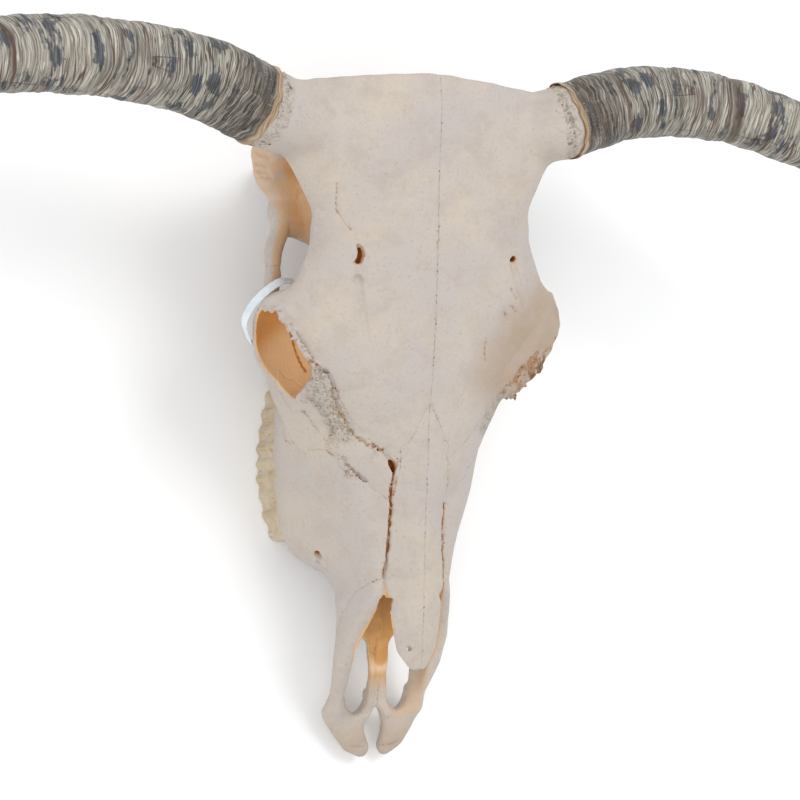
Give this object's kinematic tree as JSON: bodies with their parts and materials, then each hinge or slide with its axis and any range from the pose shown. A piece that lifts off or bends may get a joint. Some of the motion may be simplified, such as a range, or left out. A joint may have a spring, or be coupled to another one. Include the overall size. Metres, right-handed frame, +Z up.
{
  "type": "cow skull",
  "caption": "Dry cow skull with both horn sheaths and upper cheek teeth and no lower jaw, resting on its teeth and neck processes, with a plain label strip bent round the outside of one eye socket.",
  "frame": {"origin": "centre of the bounding box on the floor", "axes": "+Z up; +X toward the cow's left, along the span of the horns; +Y from the muzzle to the back of the head; lies as it would rest, on its cheek teeth and the two neck processes"},
  "size_m": [1.0042, 0.5122, 0.3269],
  "materials": {
    "bone": "dry, matte, slightly porous",
    "horn": "dry, satin, ringed",
    "paper": "matte"
  },
  "bodies": {
    "root": {"nasal_right": "bone", "nasal_left": "bone", "lacrimal_right": "bone", "lacrimal_left": "bone", "premaxilla_right": "bone", "premaxilla_left": "bone", "zygomatic_right": "bone", "zygomatic_left": "bone", "temporal_right": "bone", "temporal_left": "bone", "frontal_right": "bone", "frontal_left": "bone", "maxilla_right": "bone", "maxilla_left": "bone", "occipital": "bone", "braincase": "bone", "horn_right": "horn", "horn_left": "horn", "label_strip": "paper"}
  },
  "joints": []
}
